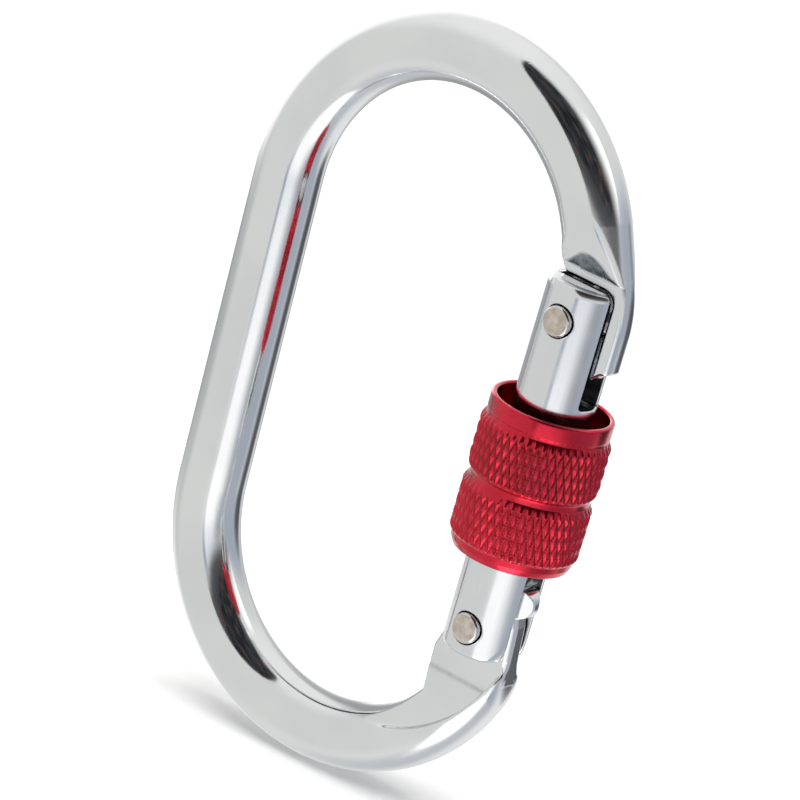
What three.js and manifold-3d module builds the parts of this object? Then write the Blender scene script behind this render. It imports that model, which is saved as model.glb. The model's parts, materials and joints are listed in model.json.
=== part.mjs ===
// Oval steel carabiner with a screw-lock sleeve, in millimetres.
//
// Frame: the oval lies in the XZ plane with its long axis on +Z, the spine at -X and the gate at +X.
// The origin is the centre of the whole carabiner's box, so the oval's own centre is at -ENVELOPE_OFFSET
// on X. The carabiner is shut, with its sleeve screwed down (unlocked). Below, places are given from the
// centre of the oval, and the last group shifts everything onto the origin.
// Everything that belongs to the gate is modelled in the gate's own frame, (u, y, w): w runs up the gate
// from the hinge pin, u points outwards, and the frame leans outwards by GATE_LEAN.

import * as THREE from 'three';
import { mergeVertices } from 'three/addons/utils/BufferGeometryUtils.js';
import Module from 'manifold-3d';

// ---- driving dimensions ----

const BAR_RADIUS = 5; // 10 mm round bar
const BOW_RADIUS = 27.25; // bar centreline in both bows
const OVERALL_LENGTH = 112;
const BOW_CENTRE_Z = OVERALL_LENGTH / 2 - BAR_RADIUS - BOW_RADIUS;

const HINGE = { x: 24.4, z: -25.3 };
const GATE_LEAN = THREE.MathUtils.degToRad(2);
const GATE_RADIUS = 5.87;
const GATE_TOP = 52.6;
const GATE_BOTTOM = -4.2;
const HEEL_RADIUS = 6; // rounding of the gate's lower end about the hinge
const LATCH_W = 47; // latch pin above the hinge pin
const PIN_RADIUS = 2.25;
const PIN_HOLE_RADIUS = 2.5;
const PIN_PROUD = 0.3; // how far the pin ends stand out of the gate

const WEB_HALF = 1.75; // half thickness of the nose hook and of the hinge tang
const SLOT_HALF = 2.25; // half width of the gate's slots
const UPPER_SLOT_FLOOR = 35.2;
const UPPER_SLOT_WALL = -3.9; // the upper slot leaves this inner wall standing
const LOWER_SLOT_ROOF = 8;

const THREAD_RADIUS = 6.8; // crest of the gate's screw thread
const THREAD_FROM = 13;
const THREAD_TO = 24.9;

const BORE_RADIUS = 2; // spring bore up the gate
const BORE_END = 26;
const PLUNGER_RADIUS = 1.75;
const PLUNGER_TIP = 5.15;
const PLUNGER_HEAD = 13;
const WIRE_RADIUS = 0.25;
const COIL_RADIUS = 1.4;
const COIL_TURNS = 8;

const SLEEVE_BOTTOM = 10.5;
const SLEEVE_TOP = 33.7;
const MOUTH_RADIUS = 8;
const MOUTH_FLOOR = 28;
const SLEEVE_BORE = 7.25;
const SLEEVE_THREAD_BORE = 7.05;
const RING_W = 26.3;
const RING_SECTION = 0.7;
const RING_RADIUS = 6.85;

const ENVELOPE_OFFSET = 1.35; // the sleeve stands out this much more on +X than the spine does on -X

const CUT = 20; // reach of cutting blocks past the metal

// ---- solids ----

const wasm = await Module();
wasm.setup();

function toSolid(geometry) {
  const bare = geometry.clone();
  bare.deleteAttribute('normal');
  bare.deleteAttribute('uv');
  const merged = mergeVertices(bare, 1e-4);
  const vertProperties = new Float32Array(merged.attributes.position.array);
  const triVerts = new Uint32Array(merged.index.array);
  return new wasm.Manifold(new wasm.Mesh({ numProp: 3, vertProperties, triVerts }));
}

function toGeometry(solid) {
  const mesh = solid.getMesh();
  const geometry = new THREE.BufferGeometry();
  geometry.setAttribute('position', new THREE.BufferAttribute(mesh.vertProperties, 3));
  geometry.setIndex(new THREE.BufferAttribute(mesh.triVerts, 1));
  geometry.computeVertexNormals();
  return geometry;
}

function join(...geometries) {
  return geometries.map(toSolid).reduce((whole, next) => whole.add(next));
}

function block(from, to) {
  const size = [0, 1, 2].map((k) => to[k] - from[k]);
  const middle = [0, 1, 2].map((k) => (to[k] + from[k]) / 2);
  return new THREE.BoxGeometry(...size).translate(...middle);
}

function discAlongY(radius, halfLength, x, z, sides = 48) {
  return new THREE.CylinderGeometry(radius, radius, 2 * halfLength, sides).translate(x, 0, z);
}

// A flat plate in the (u, w) plane, centred on y = 0.
function plate(shape, halfThickness) {
  const geometry = new THREE.ExtrudeGeometry(shape, {
    depth: 2 * halfThickness,
    bevelEnabled: false,
    curveSegments: 12,
  });
  return geometry.translate(0, 0, -halfThickness).rotateX(Math.PI / 2);
}

// A profile in (y, w), drawn for +y, cut right across the piece along u.
function rampAcross(points, side) {
  const shape = new THREE.Shape(points.map(([y, w]) => new THREE.Vector2(side * y, w)));
  const geometry = new THREE.ExtrudeGeometry(shape, { depth: 2 * CUT, bevelEnabled: false });
  return geometry.translate(0, 0, -CUT).applyMatrix4(Y_W_ACROSS_U);
}

// Carries a shape drawn in (first, second) = (y, w) and extruded on its third axis onto (u, y, w).
const Y_W_ACROSS_U = new THREE.Matrix4().makeBasis(
  new THREE.Vector3(0, 1, 0),
  new THREE.Vector3(0, 0, 1),
  new THREE.Vector3(1, 0, 0),
);

function revolve(points, sides) {
  const profile = points.map(([radius, w]) => new THREE.Vector2(radius, w));
  return new THREE.LatheGeometry(profile, sides).rotateX(Math.PI / 2);
}

// ---- gate frame to carabiner frame ----

const gateFrame = new THREE.Matrix4()
  .makeRotationY(GATE_LEAN)
  .setPosition(HINGE.x, 0, HINGE.z);

function fromGate(u, w) {
  return new THREE.Vector3(u, 0, w).applyMatrix4(gateFrame);
}

// ---- body: one bent and forged bar ----

function arcPoints(centreZ, fromDeg, toDeg, count) {
  const points = [];
  for (let i = 0; i <= count; i += 1) {
    const angle = THREE.MathUtils.degToRad(fromDeg + ((toDeg - fromDeg) * i) / count);
    points.push(new THREE.Vector3(BOW_RADIUS * Math.cos(angle), 0, centreZ + BOW_RADIUS * Math.sin(angle)));
  }
  return points;
}

function barCentreline() {
  const nose = [[2.5, 39.3], [2.5, 43], [2.5, 47], [2.35, 50], [1.8, 52.5], [1, 54.6], [0.1, 56.8]];
  const noseToBow = nose.map(([u, w]) => fromGate(u, w));
  const spineTop = new THREE.Vector3(-BOW_RADIUS, 0, BOW_CENTRE_Z * 0.6);
  const spineMiddle = new THREE.Vector3(-BOW_RADIUS, 0, 0);
  const spineBottom = new THREE.Vector3(-BOW_RADIUS, 0, -BOW_CENTRE_Z * 0.6);
  const rimEnd = new THREE.Vector3(BOW_RADIUS, 0, HINGE.z + 3.4);
  return new THREE.CatmullRomCurve3([
    ...noseToBow,
    ...arcPoints(BOW_CENTRE_Z, 22, 180, 20),
    spineTop,
    spineMiddle,
    spineBottom,
    ...arcPoints(-BOW_CENTRE_Z, 180, 360, 22),
    rimEnd,
  ]);
}

function barSection() {
  const sides = 24;
  const section = new THREE.Shape();
  for (let i = 0; i < sides; i += 1) {
    const angle = ((i + 0.5) / sides) * 2 * Math.PI;
    const [x, y] = [BAR_RADIUS * Math.cos(angle), BAR_RADIUS * Math.sin(angle)];
    if (i === 0) section.moveTo(x, y);
    else section.lineTo(x, y);
  }
  section.closePath();
  return section;
}

// The flat tang that enters the gate's lower slot. Its top is a cam: a round lobe on the inner side that
// lifts the plunger as the gate opens, and a tall lobe on the outer side.
function tangShape() {
  const cam = { u: -1.6, w: 0.5, radius: 4.3 };
  const shape = new THREE.Shape();
  shape.moveTo(6.6, -3);
  shape.lineTo(5.9, 2);
  shape.lineTo(5.9, 5.2);
  shape.quadraticCurveTo(5.9, 7, 4.4, 7);
  shape.quadraticCurveTo(3, 7, 2.7, 5.4);
  shape.lineTo(2.4, cam.w + cam.radius - 0.2);
  shape.lineTo(cam.u + 0.9, cam.w + cam.radius - 0.1);
  shape.absarc(cam.u, cam.w, cam.radius, Math.PI / 2, Math.PI, false);
  shape.lineTo(-6.2, -3.7);
  shape.lineTo(-6.9, -6.4);
  shape.lineTo(-6.7, -9.2);
  shape.lineTo(-6, -12.5);
  shape.lineTo(-1, -15);
  shape.lineTo(4, -9);
  shape.closePath();
  return shape;
}

function buildBody() {
  const inGate = (geometry) => geometry.applyMatrix4(gateFrame);
  const bar = new THREE.ExtrudeGeometry(barSection(), {
    steps: 96,
    bevelEnabled: false,
    extrudePath: barCentreline(),
  });
  let body = join(bar, inGate(plate(tangShape(), WEB_HALF)));

  // nose: a long flat, a short steep ramp, then the thin hook that enters the gate's upper slot
  const noseFlats = [[WEB_HALF, 30], [WEB_HALF, 54], [3, 56.6], [CUT / 4, 62.5], [CUT, 62.5], [CUT, 30]];
  // tang: a flat pocket round the gate's heel, then a ramp back out to the full bar
  const creaseW = -9;
  const tangPocket = [[WEB_HALF, creaseW], [WEB_HALF, 14], [CUT, 14], [CUT, -24], [5, -24]];
  const rimRadius = BOW_RADIUS + 3.15; // the pocket stops at a raised rim along the outer edge
  const insideRim = toSolid(discAlongY(rimRadius, CUT, 0, -BOW_CENTRE_Z, 128));
  const heelRoom = toSolid(inGate(discAlongY(HEEL_RADIUS + 0.4, CUT, 0, 0)));
  const web = toSolid(inGate(block([-CUT, -WEB_HALF, -CUT], [CUT, WEB_HALF, CUT])));
  for (const side of [1, -1]) {
    body = body.subtract(toSolid(inGate(rampAcross(noseFlats, side))));
    body = body.subtract(toSolid(inGate(rampAcross(tangPocket, side))).intersect(insideRim));
  }
  body = body.subtract(heelRoom.subtract(web));

  // the rim's upper end slopes down to the outer edge
  const aboveRim = new THREE.Shape();
  aboveRim.moveTo(6, 3.4);
  aboveRim.lineTo(9, 0.4);
  aboveRim.lineTo(12, 9);
  aboveRim.lineTo(6, 9);
  aboveRim.closePath();
  body = body.subtract(toSolid(inGate(plate(aboveRim, CUT))));

  // hook: a seat for the latch pin, open to the inside, and a tip that steps up to the outer edge
  const seat = discAlongY(PIN_RADIUS + 0.45, CUT, 0, LATCH_W);
  const seatMouth = block([-CUT / 2, -CUT, LATCH_W - 2.75], [0, CUT, LATCH_W + 2.7]);
  const underTip = new THREE.Shape();
  underTip.moveTo(4.9, 30);
  underTip.lineTo(4.9, 39.6);
  underTip.lineTo(6.1, 40.9);
  underTip.lineTo(7.1, 41.5);
  underTip.lineTo(9, 43.6);
  underTip.lineTo(12, 30);
  underTip.closePath();
  body = body.subtract(join(inGate(seat), inGate(seatMouth)));
  body = body.subtract(toSolid(inGate(plate(underTip, CUT))));

  return body.subtract(toSolid(inGate(discAlongY(PIN_HOLE_RADIUS, CUT, 0, 0))));
}

// ---- gate and what rides in it ----

function buildGate() {
  const chamfer = 0.8;
  const blank = revolve([
    [0, GATE_BOTTOM],
    [GATE_RADIUS, GATE_BOTTOM],
    [GATE_RADIUS, THREAD_FROM - 0.8],
    [THREAD_RADIUS, THREAD_FROM],
    [THREAD_RADIUS, THREAD_TO],
    [GATE_RADIUS, THREAD_TO + 0.8],
    [GATE_RADIUS, GATE_TOP - chamfer],
    [GATE_RADIUS - chamfer, GATE_TOP],
    [0, GATE_TOP],
  ], 48);
  const heelWaste = toSolid(block([-CUT, -CUT, -CUT], [CUT, CUT, 0]))
    .subtract(toSolid(discAlongY(HEEL_RADIUS - 0.05, 2 * CUT, 0, 0)));
  const upperSlot = block([UPPER_SLOT_WALL, -SLOT_HALF, UPPER_SLOT_FLOOR], [CUT, SLOT_HALF, 2 * LATCH_W]);
  const lowerSlot = block([-CUT, -SLOT_HALF, -CUT], [CUT, SLOT_HALF, LOWER_SLOT_ROOF]);
  const springBore = revolve([
    [0, LOWER_SLOT_ROOF - 1],
    [BORE_RADIUS, LOWER_SLOT_ROOF - 1],
    [BORE_RADIUS, BORE_END],
    [0, BORE_END + 1],
  ], 24);
  return toSolid(blank)
    .subtract(heelWaste)
    .subtract(toSolid(upperSlot))
    .subtract(toSolid(lowerSlot))
    .subtract(toSolid(springBore))
    .subtract(toSolid(discAlongY(PIN_HOLE_RADIUS, CUT, 0, 0, 32)))
    .subtract(toSolid(discAlongY(PIN_HOLE_RADIUS, CUT, 0, LATCH_W, 32)));
}

function pin(w) {
  const halfLength = GATE_RADIUS + PIN_PROUD;
  const edge = 0.4;
  const geometry = revolve([
    [0, -halfLength],
    [PIN_RADIUS - edge, -halfLength],
    [PIN_RADIUS, -halfLength + edge],
    [PIN_RADIUS, halfLength - edge],
    [PIN_RADIUS - edge, halfLength],
    [0, halfLength],
  ], 32);
  return geometry.rotateX(Math.PI / 2).translate(0, 0, w);
}

class Coil extends THREE.Curve {
  constructor(radius, from, to, turns) {
    super();
    Object.assign(this, { radius, from, to, turns });
  }

  getPoint(t, target = new THREE.Vector3()) {
    const angle = t * this.turns * 2 * Math.PI;
    const w = this.from + (this.to - this.from) * t;
    return target.set(this.radius * Math.cos(angle), this.radius * Math.sin(angle), w);
  }
}

function springGeometry() {
  const clear = 0.1 + WIRE_RADIUS;
  const wire = new THREE.Shape();
  wire.absarc(0, 0, WIRE_RADIUS, 0, 2 * Math.PI, false);
  return new THREE.ExtrudeGeometry(wire, {
    steps: COIL_TURNS * 14,
    curveSegments: 3,
    bevelEnabled: false,
    extrudePath: new Coil(COIL_RADIUS, PLUNGER_HEAD + clear, BORE_END - clear, COIL_TURNS),
  });
}

function plungerGeometry() {
  const dome = [0, 0.25, 0.5, 0.75, 1].map((t) => {
    const angle = (t * Math.PI) / 2;
    return [PLUNGER_RADIUS * Math.sin(angle), PLUNGER_TIP + PLUNGER_RADIUS * (1 - Math.cos(angle))];
  });
  return revolve([...dome, [PLUNGER_RADIUS, PLUNGER_HEAD], [0, PLUNGER_HEAD]], 24);
}

function ringGeometry() {
  return new THREE.TorusGeometry(RING_RADIUS, RING_SECTION, 10, 40).translate(0, 0, RING_W);
}

// Outer profile from the bottom up, then the bore from the top down.
function sleeveGeometry() {
  const outside = [
    [7.7, SLEEVE_BOTTOM],
    [8.4, SLEEVE_BOTTOM + 0.35],
    [8.8, SLEEVE_BOTTOM + 1.2],
    [8.9, 12.7],
    [9.4, 13],
    [9.4, 19.9],
    [8.95, 21.2],
    [8.75, 22.5],
    [9.5, 22.9],
    [9.5, 30.2],
    [8.75, 31.1],
    [8.9, 31.5],
    [8.9, SLEEVE_TOP - 0.6],
    [8.55, SLEEVE_TOP],
  ];
  const grooveHalf = RING_SECTION + 0.15;
  const grooveRadius = RING_RADIUS + RING_SECTION + 0.15;
  const inside = [
    [MOUTH_RADIUS + 0.15, SLEEVE_TOP],
    [MOUTH_RADIUS, SLEEVE_TOP - 0.3],
    [MOUTH_RADIUS, MOUTH_FLOOR],
    [6.9, MOUTH_FLOOR],
    [6.9, RING_W + grooveHalf],
    [grooveRadius, RING_W + grooveHalf],
    [grooveRadius, RING_W - grooveHalf],
    [SLEEVE_BORE, RING_W - grooveHalf],
    [SLEEVE_BORE, 17.8],
    [SLEEVE_THREAD_BORE, 17.4],
    [SLEEVE_THREAD_BORE, SLEEVE_BOTTOM + 0.4],
    [SLEEVE_THREAD_BORE + 0.4, SLEEVE_BOTTOM],
  ];
  return revolve([...outside, ...inside, outside[0]], 48);
}

// ---- materials ----

const steel = new THREE.MeshStandardMaterial({ color: 0xc9ced3, roughness: 0.2, metalness: 1 });
const gateSteel = new THREE.MeshStandardMaterial({ color: 0xc2c8ce, roughness: 0.28, metalness: 1 });
const pinSteel = new THREE.MeshStandardMaterial({ color: 0xb5a99b, roughness: 0.4, metalness: 0.9 });
const springSteel = new THREE.MeshStandardMaterial({ color: 0x8f9499, roughness: 0.35, metalness: 1 });
const redAnodised = new THREE.MeshStandardMaterial({ color: 0xb8142c, roughness: 0.35, metalness: 0.8 });
const blackRubber = new THREE.MeshStandardMaterial({ color: 0x1b1b1d, roughness: 0.8, metalness: 0 });

// ---- assembly ----

function named(name, geometry, material) {
  const mesh = new THREE.Mesh(geometry, material);
  mesh.name = name;
  return mesh;
}

const carabiner = new THREE.Group();
carabiner.position.x = -ENVELOPE_OFFSET;
carabiner.add(named('body', toGeometry(buildBody()), steel));

const gateAssembly = new THREE.Group();
gateAssembly.position.set(HINGE.x, 0, HINGE.z);
gateAssembly.rotation.y = GATE_LEAN;
gateAssembly.add(named('gate', toGeometry(buildGate()), gateSteel));
gateAssembly.add(named('hinge_pin', pin(0), pinSteel));
gateAssembly.add(named('latch_pin', pin(LATCH_W), pinSteel));
gateAssembly.add(named('gate_spring', springGeometry(), springSteel));
gateAssembly.add(named('spring_plunger', plungerGeometry(), pinSteel));
gateAssembly.add(named('sleeve_ring', ringGeometry(), blackRubber));
gateAssembly.add(named('lock_sleeve', sleeveGeometry(), redAnodised));
carabiner.add(gateAssembly);

export default carabiner;
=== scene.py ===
"""An oval screw-lock carabiner of plated steel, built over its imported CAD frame."""

import json
import math

import bmesh
import bpy
import numpy as np
from mathutils import Matrix, Vector


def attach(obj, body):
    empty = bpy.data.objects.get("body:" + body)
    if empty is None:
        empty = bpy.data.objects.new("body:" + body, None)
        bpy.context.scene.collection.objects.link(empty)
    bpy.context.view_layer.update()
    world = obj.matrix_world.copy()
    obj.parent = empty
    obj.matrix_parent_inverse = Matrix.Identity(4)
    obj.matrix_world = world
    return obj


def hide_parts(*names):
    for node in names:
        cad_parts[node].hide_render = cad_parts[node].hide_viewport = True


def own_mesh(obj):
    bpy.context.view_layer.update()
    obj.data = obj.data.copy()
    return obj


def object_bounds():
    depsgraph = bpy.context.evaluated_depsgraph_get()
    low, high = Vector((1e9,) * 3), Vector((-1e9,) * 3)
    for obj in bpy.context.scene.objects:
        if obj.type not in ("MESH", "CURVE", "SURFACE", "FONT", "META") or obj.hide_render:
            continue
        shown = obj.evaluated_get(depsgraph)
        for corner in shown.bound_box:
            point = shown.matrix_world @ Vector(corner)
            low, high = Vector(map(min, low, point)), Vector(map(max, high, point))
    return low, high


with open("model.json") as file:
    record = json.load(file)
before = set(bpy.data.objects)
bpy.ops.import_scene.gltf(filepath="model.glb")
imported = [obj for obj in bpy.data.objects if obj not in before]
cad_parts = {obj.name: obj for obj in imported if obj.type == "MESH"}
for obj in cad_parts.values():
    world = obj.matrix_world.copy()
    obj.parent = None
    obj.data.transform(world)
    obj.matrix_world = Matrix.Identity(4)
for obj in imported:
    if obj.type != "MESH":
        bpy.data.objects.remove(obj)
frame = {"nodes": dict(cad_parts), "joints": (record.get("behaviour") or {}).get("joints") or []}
CAD_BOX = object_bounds()

MM = 0.001


# ---------------------------------------------------------------- places taken from the frame

def joint(name):
    """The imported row's joint of this name."""
    return next(j for j in frame["joints"] if j["name"] == name)


HINGE = Vector(joint("gate_hinge")["pos_m"]) / MM
GATE_AXIS = Vector(joint("sleeve_travel")["axis"])
LEAN_SIN, LEAN_COS = GATE_AXIS.x, GATE_AXIS.z


def extent(node):
    """Lowest and highest (u, y, w) of a CAD node in the gate's own frame, in mm.

    w runs up the gate from the hinge pin, u points outwards."""
    co = np.array([v.co for v in frame["nodes"][node].data.vertices]) / MM - np.array(HINGE)
    u = co[:, 0] * LEAN_COS - co[:, 2] * LEAN_SIN
    w = co[:, 0] * LEAN_SIN + co[:, 2] * LEAN_COS
    uyw = np.stack([u, co[:, 1], w], axis=1)
    return uyw.min(0), uyw.max(0)


GATE_LOW, GATE_HIGH = extent("gate")
LATCH_LOW, LATCH_HIGH = extent("latch_pin")
SLEEVE_LOW, SLEEVE_HIGH = extent("lock_sleeve")
SPRING_LOW, SPRING_HIGH = extent("gate_spring")
PLUNGER_LOW, PLUNGER_HIGH = extent("spring_plunger")
RING_LOW, RING_HIGH = extent("sleeve_ring")

LATCH_W = (LATCH_LOW[2] + LATCH_HIGH[2]) / 2
PIN_RADIUS = (LATCH_HIGH[0] - LATCH_LOW[0]) / 2
PIN_HALF_LENGTH = LATCH_HIGH[1]
GATE_TOP = GATE_HIGH[2]
GATE_BOTTOM = GATE_LOW[2]
THREAD_RADIUS = GATE_HIGH[0]
SLEEVE_BOTTOM = SLEEVE_LOW[2]
SLEEVE_TOP = SLEEVE_HIGH[2]
KNURL_RADIUS = SLEEVE_HIGH[0]

# ---------------------------------------------------------------- driving dimensions, in mm

BAR_RADIUS = 5.0
BOW_RADIUS = 27.25           # bar centreline in both bows
BOW_CENTRE_Z = 23.75
HINGE_FROM_LONG_AXIS = 24.4
OVAL_X = HINGE.x - HINGE_FROM_LONG_AXIS   # the oval's own centre in the row frame

GATE_RADIUS = 5.87
WEB_HALF = 1.75              # half thickness of the hinge tang, and of the nose round the gate's corner
SLOT_HALF = 2.25
PIN_HOLE_RADIUS = 2.4

FAR = 1e3                    # stands for "not here" in a distance field


# ---------------------------------------------------------------- distance fields
# Every field is negative inside the metal, in mm, and takes arrays that broadcast together.

def union(a, b, radius):
    """Joins two fields with a concave fillet."""
    corner = np.hypot(np.maximum(radius - a, 0), np.maximum(radius - b, 0))
    return np.maximum(radius, np.minimum(a, b)) - corner


def common(a, b, radius):
    """Keeps what two fields share, with a convex rounded edge."""
    corner = np.hypot(np.maximum(radius + a, 0), np.maximum(radius + b, 0))
    return np.minimum(-radius, np.maximum(a, b)) + corner


def cut(a, b, radius):
    """Takes the second field out of the first, with a convex rounded edge."""
    return common(a, -b, radius)


def smooth_step(t):
    """0 up to 0, 1 from 1 on, and smooth between."""
    t = np.clip(t, 0, 1)
    return t * t * (3 - 2 * t)


def to_segment(p, q, a, b):
    """Distance in the plane from (p, q) to the segment a-b."""
    dp, dq = b[0] - a[0], b[1] - a[1]
    t = np.clip(((p - a[0]) * dp + (q - a[1]) * dq) / (dp * dp + dq * dq), 0, 1)
    return np.hypot(p - a[0] - t * dp, q - a[1] - t * dq)


def to_arc(p, q, centre, radius, start, stop):
    """Distance to an arc between two angles in degrees, and far away outside that wedge."""
    dp, dq = p - centre[0], q - centre[1]
    middle = math.radians((start + stop) / 2)
    along = dp * math.cos(middle) + dq * math.sin(middle)
    across = dq * math.cos(middle) - dp * math.sin(middle)
    off = np.abs(np.arctan2(across, along))
    return np.where(off <= math.radians((stop - start) / 2) + 1e-9, np.abs(np.hypot(dp, dq) - radius), FAR)


def polygon(p, q, corners):
    """Signed distance in the plane to a closed outline."""
    nearest = FAR * np.ones(np.broadcast(p, q).shape)
    inside = np.zeros(nearest.shape, bool)
    for a, b in zip(corners, corners[1:] + corners[:1]):
        nearest = np.minimum(nearest, to_segment(p, q, a, b))
        crosses = (a[1] > q) != (b[1] > q)
        with np.errstate(divide="ignore", invalid="ignore"):
            reach = a[0] + (q - a[1]) * (b[0] - a[0]) / (b[1] - a[1]) if a[1] != b[1] else -FAR
        inside ^= crosses & (p < reach)
    return np.where(inside, -nearest, nearest)


def gate_coords(x, z):
    """(u, w) of a point given from the oval's centre."""
    dx, dz = x - HINGE_FROM_LONG_AXIS, z - HINGE.z
    return dx * LEAN_COS - dz * LEAN_SIN, dx * LEAN_SIN + dz * LEAN_COS


# ---- body

BAR_PAST_HINGE = 3.4         # the straight bar below the gate runs this far above the hinge pin
NOSE_U = 3.0                 # the nose's centreline stands this far outside the gate's
NOSE_START_W = 38.0
NOSE_BEND_W = 46.5
NOSE_BEND_RADIUS = 15.0
NOSE_LEAVES_BOW = 24.0       # degrees up the bow
NOSE_SIDE_U = -25.0          # cuts meant for the nose stop here, well short of the spine
FACET_HALF, FACET_W = 3.3, 57.0   # the facet's half thickness, at this height
FACET_SLOPE = 0.33
FACET_CROWN = 36.0           # twice the crown radius
STEP_W = 54.2                # foot of the steep ramp
RAMP_RISE = FACET_HALF - WEB_HALF - FACET_SLOPE * (FACET_W - STEP_W)
RAMP_ARCH = (0.6, 4.9, 2.9)  # the ramp's top edge arches: its middle, half width and height
HOOK_HALF = 1.3              # half thickness of the hook inside the gate's slot
HOOK_CORNER = (3.3, 50.6, 1.7)    # (u, w, radius) where the hook's thinner part ends
TIP_W = 39.5                 # inner end of the nose's tip
TIP_STEP = (4.7, 2.0, 1.6)   # the tip steps up outside this u, over this width, by this height
TIP_SLANT = (6.5, 0.3)       # and slants outside this u, at this slope
BUMP_CENTRE = (-2.3, 55.6)   # swelling on the nose's inner side
BUMP_RADIUS = 2.6
SEAT_RADIUS = 2.7            # the hook's seat for the latch pin
SEAT_MOUTH = 12.0            # the seat opens inwards for this length
CREASE_W = -9.0              # crease across the tang, where its ramp starts
CREASE_DEPTH, CREASE_WIDTH = 0.16, 0.4
TANG_RAMP_SLOPE = 3.25 / 15
TANG_OUTER = 5.45            # outer face of the tang, at the hinge pin
TANG_FLARE = 0.075
TANG_BAR_TOP = -0.5          # the full bar ends here, and the tang's plate goes on
TANG_ROUNDING = 1.2          # the plate is its outline grown by this much
TANG_EDGE = 1.1              # the plate's outer edges are rounded this much
TANG_OUTLINE = [
    (4.48, -3.0), (4.16, 1.2), (3.4, 3.8), (-1.0, 3.4), (-4.4, 0.6), (-4.95, -3.6), (-5.7, -6.2),
    (-5.5, -9.2), (-5.0, -13.0), (-1.0, -14.5), (2.4, -11.0), (4.5, -9.0), (4.78, -7.0),
]
TANG_LOBE = (4.6, 5.2, 2.2)  # (u, w, radius) of a round lobe outside the plate, its faces sloping outwards
LOBE_TURN = math.radians(35)
LOBE_SLOPE_FROM = 5.2
RIM_CENTRE = (-14.6, 0.2)    # (u, w); the outer rim's inner foot is an arc about here
RIM_INNER_RADIUS = 20.7
RIDGE_W = -3.4               # from here down the rim rises out of the plate
RIDGE_SLOPE = 0.36
HEEL_ROOM = 6.4              # room for the gate's round heel beside the plate


def centreline(x, z):
    """Distance in the plane of the oval to the bar's centreline."""
    u, w = gate_coords(x, z)
    turn = NOSE_LEAVES_BOW + math.degrees(math.asin(LEAN_SIN))
    bend_centre = (NOSE_U - NOSE_BEND_RADIUS, NOSE_BEND_W)
    bend_end = (bend_centre[0] + NOSE_BEND_RADIUS * math.cos(math.radians(turn)),
                bend_centre[1] + NOSE_BEND_RADIUS * math.sin(math.radians(turn)))
    leave = math.radians(NOSE_LEAVES_BOW)
    bow_start = gate_coords(BOW_RADIUS * math.cos(leave), BOW_CENTRE_Z + BOW_RADIUS * math.sin(leave))
    runs = [
        to_segment(u, w, (NOSE_U, NOSE_START_W), (NOSE_U, NOSE_BEND_W)),
        to_arc(u, w, bend_centre, NOSE_BEND_RADIUS, 0, turn),
        to_segment(u, w, bend_end, bow_start),
        to_arc(x, z, (0, BOW_CENTRE_Z), BOW_RADIUS, NOSE_LEAVES_BOW, 180),
        to_segment(x, z, (-BOW_RADIUS, BOW_CENTRE_Z), (-BOW_RADIUS, -BOW_CENTRE_Z)),
        to_arc(x, z, (0, -BOW_CENTRE_Z), BOW_RADIUS, -180, 0),
        to_segment(x, z, (BOW_RADIUS, -BOW_CENTRE_Z), (BOW_RADIUS, HINGE.z + BAR_PAST_HINGE)),
    ]
    nearest = runs[0]
    for run in runs[1:]:
        nearest = np.minimum(nearest, run)
    return nearest


def nose_planes(u, ay, w, line):
    """The crowned facet that slopes down the nose, and the steep ramp that ends it in an arch."""
    facet = ay - FACET_HALF - FACET_SLOPE * (w - FACET_W) + np.minimum(line, BAR_RADIUS) ** 2 / FACET_CROWN
    middle, half, height = RAMP_ARCH
    arch = height * np.maximum(1 - ((u - middle) / half) ** 2, 0.04)
    slope = FACET_SLOPE + RAMP_RISE / arch
    ramp = ay - WEB_HALF - slope * (w - STEP_W)
    return facet / math.hypot(1, FACET_SLOPE), ramp / np.hypot(1, slope)


def nose_field(u, y, w, bar, line):
    """The upper half: bar, facet, ramp, a flat strip round the gate's corner and the thinner latch hook."""
    ay = np.abs(y)
    nose_side = u > NOSE_SIDE_U
    facet, ramp = nose_planes(u, ay, w, line)
    corner_u, corner_w, corner_radius = HOOK_CORNER
    clear = np.hypot(np.maximum(u - corner_u, 0), np.maximum(w - corner_w, 0)) - corner_radius
    shoulder = (1 - np.clip(clear, 0, 1)) ** 2
    strip = (ay - WEB_HALF + (WEB_HALF - HOOK_HALF) * shoulder) * 0.8   # keeps the slope under 1
    nose = union(common(ramp, facet, 0.2), strip, 0.15)
    swelling = common(np.hypot(u - BUMP_CENTRE[0], w - BUMP_CENTRE[1]) - BUMP_RADIUS, ay - FACET_HALF, 0.9)
    steel = common(union(bar, swelling, 0.8), np.where(nose_side, nose, -FAR), 0.6)

    mouth = np.maximum(np.maximum(u, -SEAT_MOUTH - u), np.abs(w - LATCH_W) - SEAT_RADIUS)
    seat = np.minimum(np.hypot(u, w - LATCH_W) - SEAT_RADIUS, mouth)
    steel = cut(steel, seat, 0.25)
    step_u, step_width, step_height = TIP_STEP
    slant_u, slant = TIP_SLANT
    tip = TIP_W + step_height * smooth_step((u - step_u) / step_width) + slant * np.maximum(u - slant_u, 0)
    return common(steel, np.where(nose_side, (tip - w) * 0.8, -FAR), 0.35)


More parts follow.
